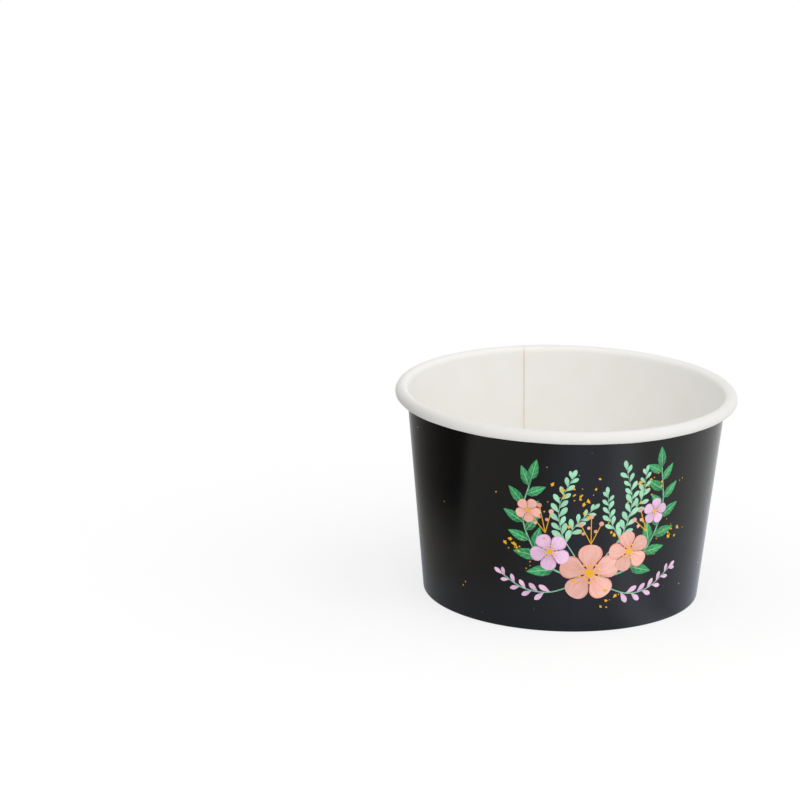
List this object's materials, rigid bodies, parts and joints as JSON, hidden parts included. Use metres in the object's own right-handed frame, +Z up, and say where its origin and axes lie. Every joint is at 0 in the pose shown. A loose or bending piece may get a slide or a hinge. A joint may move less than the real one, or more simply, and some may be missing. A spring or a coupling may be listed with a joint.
{
  "type": "paper dessert cup",
  "caption": "Round tapered paper dessert cup with a rolled rim, a lapped side seam and a recessed base disc gripped in the folded foot.",
  "frame": {"origin": "centre of the foot ring on the surface that the cup stands on", "axes": "+Z up along the cup's axis to the rolled rim, +Y towards the side seam, -Y towards the middle of the print"},
  "size_m": [0.095, 0.0955, 0.0585],
  "materials": {
    "sidewall_board": "coated board, printed outside with a gloss black ground, white inside and over the rolled rim",
    "base_board": "coated white board, satin"
  },
  "bodies": {
    "root": {"sidewall": "sidewall_board", "base_disc": "base_board"}
  },
  "joints": []
}
